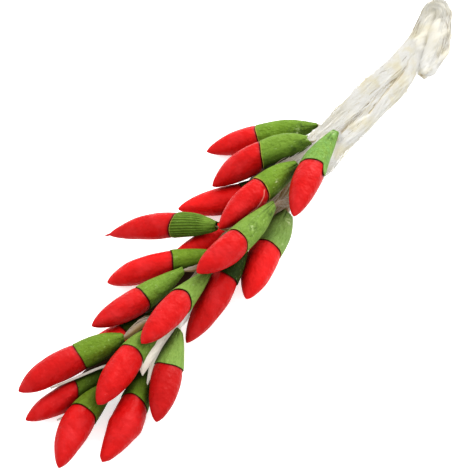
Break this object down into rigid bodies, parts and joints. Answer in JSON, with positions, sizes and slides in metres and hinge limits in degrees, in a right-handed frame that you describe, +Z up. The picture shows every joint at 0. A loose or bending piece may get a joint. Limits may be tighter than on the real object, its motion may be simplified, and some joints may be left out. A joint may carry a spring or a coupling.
{
  "type": "miniature string of chillies",
  "caption": "Dolls'-house bunch of small clay chillies, red with green caps, hung on cotton strings that gather into one bundle with a knot at its end; it lies on its side.",
  "frame": {"origin": "on the surface that the bunch lies on, under the middle of its bounding box", "axes": "+X along the bunch from the chillies' tips to the knot, +Z up; +Y towards the side with the more widely spread chillies"},
  "size_m": [0.0688, 0.018, 0.008],
  "materials": {
    "red_clay": "matte red modelling clay, finely uneven from rolling by hand",
    "green_clay": "matte green modelling clay with fine lengthwise tool lines",
    "cotton": "undyed twisted cotton string, slightly fuzzy"
  },
  "bodies": {
    "root": {"chilli_a_body": "red_clay", "chilli_a_cap": "green_clay", "chilli_b_body": "red_clay", "chilli_b_cap": "green_clay", "chilli_c_body": "red_clay", "chilli_c_cap": "green_clay", "chilli_d_body": "red_clay", "chilli_d_cap": "green_clay", "chilli_e_body": "red_clay", "chilli_e_cap": "green_clay", "chilli_f_body": "red_clay", "chilli_f_cap": "green_clay", "chilli_g_body": "red_clay", "chilli_g_cap": "green_clay", "chilli_h_body": "red_clay", "chilli_h_cap": "green_clay", "chilli_i_body": "red_clay", "chilli_i_cap": "green_clay", "chilli_j_body": "red_clay", "chilli_j_cap": "green_clay", "chilli_k_body": "red_clay", "chilli_k_cap": "green_clay", "chilli_l_body": "red_clay", "chilli_l_cap": "green_clay", "chilli_m_body": "red_clay", "chilli_m_cap": "green_clay", "chilli_n_body": "red_clay", "chilli_n_cap": "green_clay", "chilli_o_body": "red_clay", "chilli_o_cap": "green_clay", "chilli_p_body": "red_clay", "chilli_p_cap": "green_clay", "chilli_q_body": "red_clay", "chilli_q_cap": "green_clay", "chilli_r_body": "red_clay", "chilli_r_cap": "green_clay", "chilli_s_body": "red_clay", "chilli_s_cap": "green_clay", "chilli_t_body": "red_clay", "chilli_t_cap": "green_clay", "strings": "cotton"}
  },
  "joints": []
}
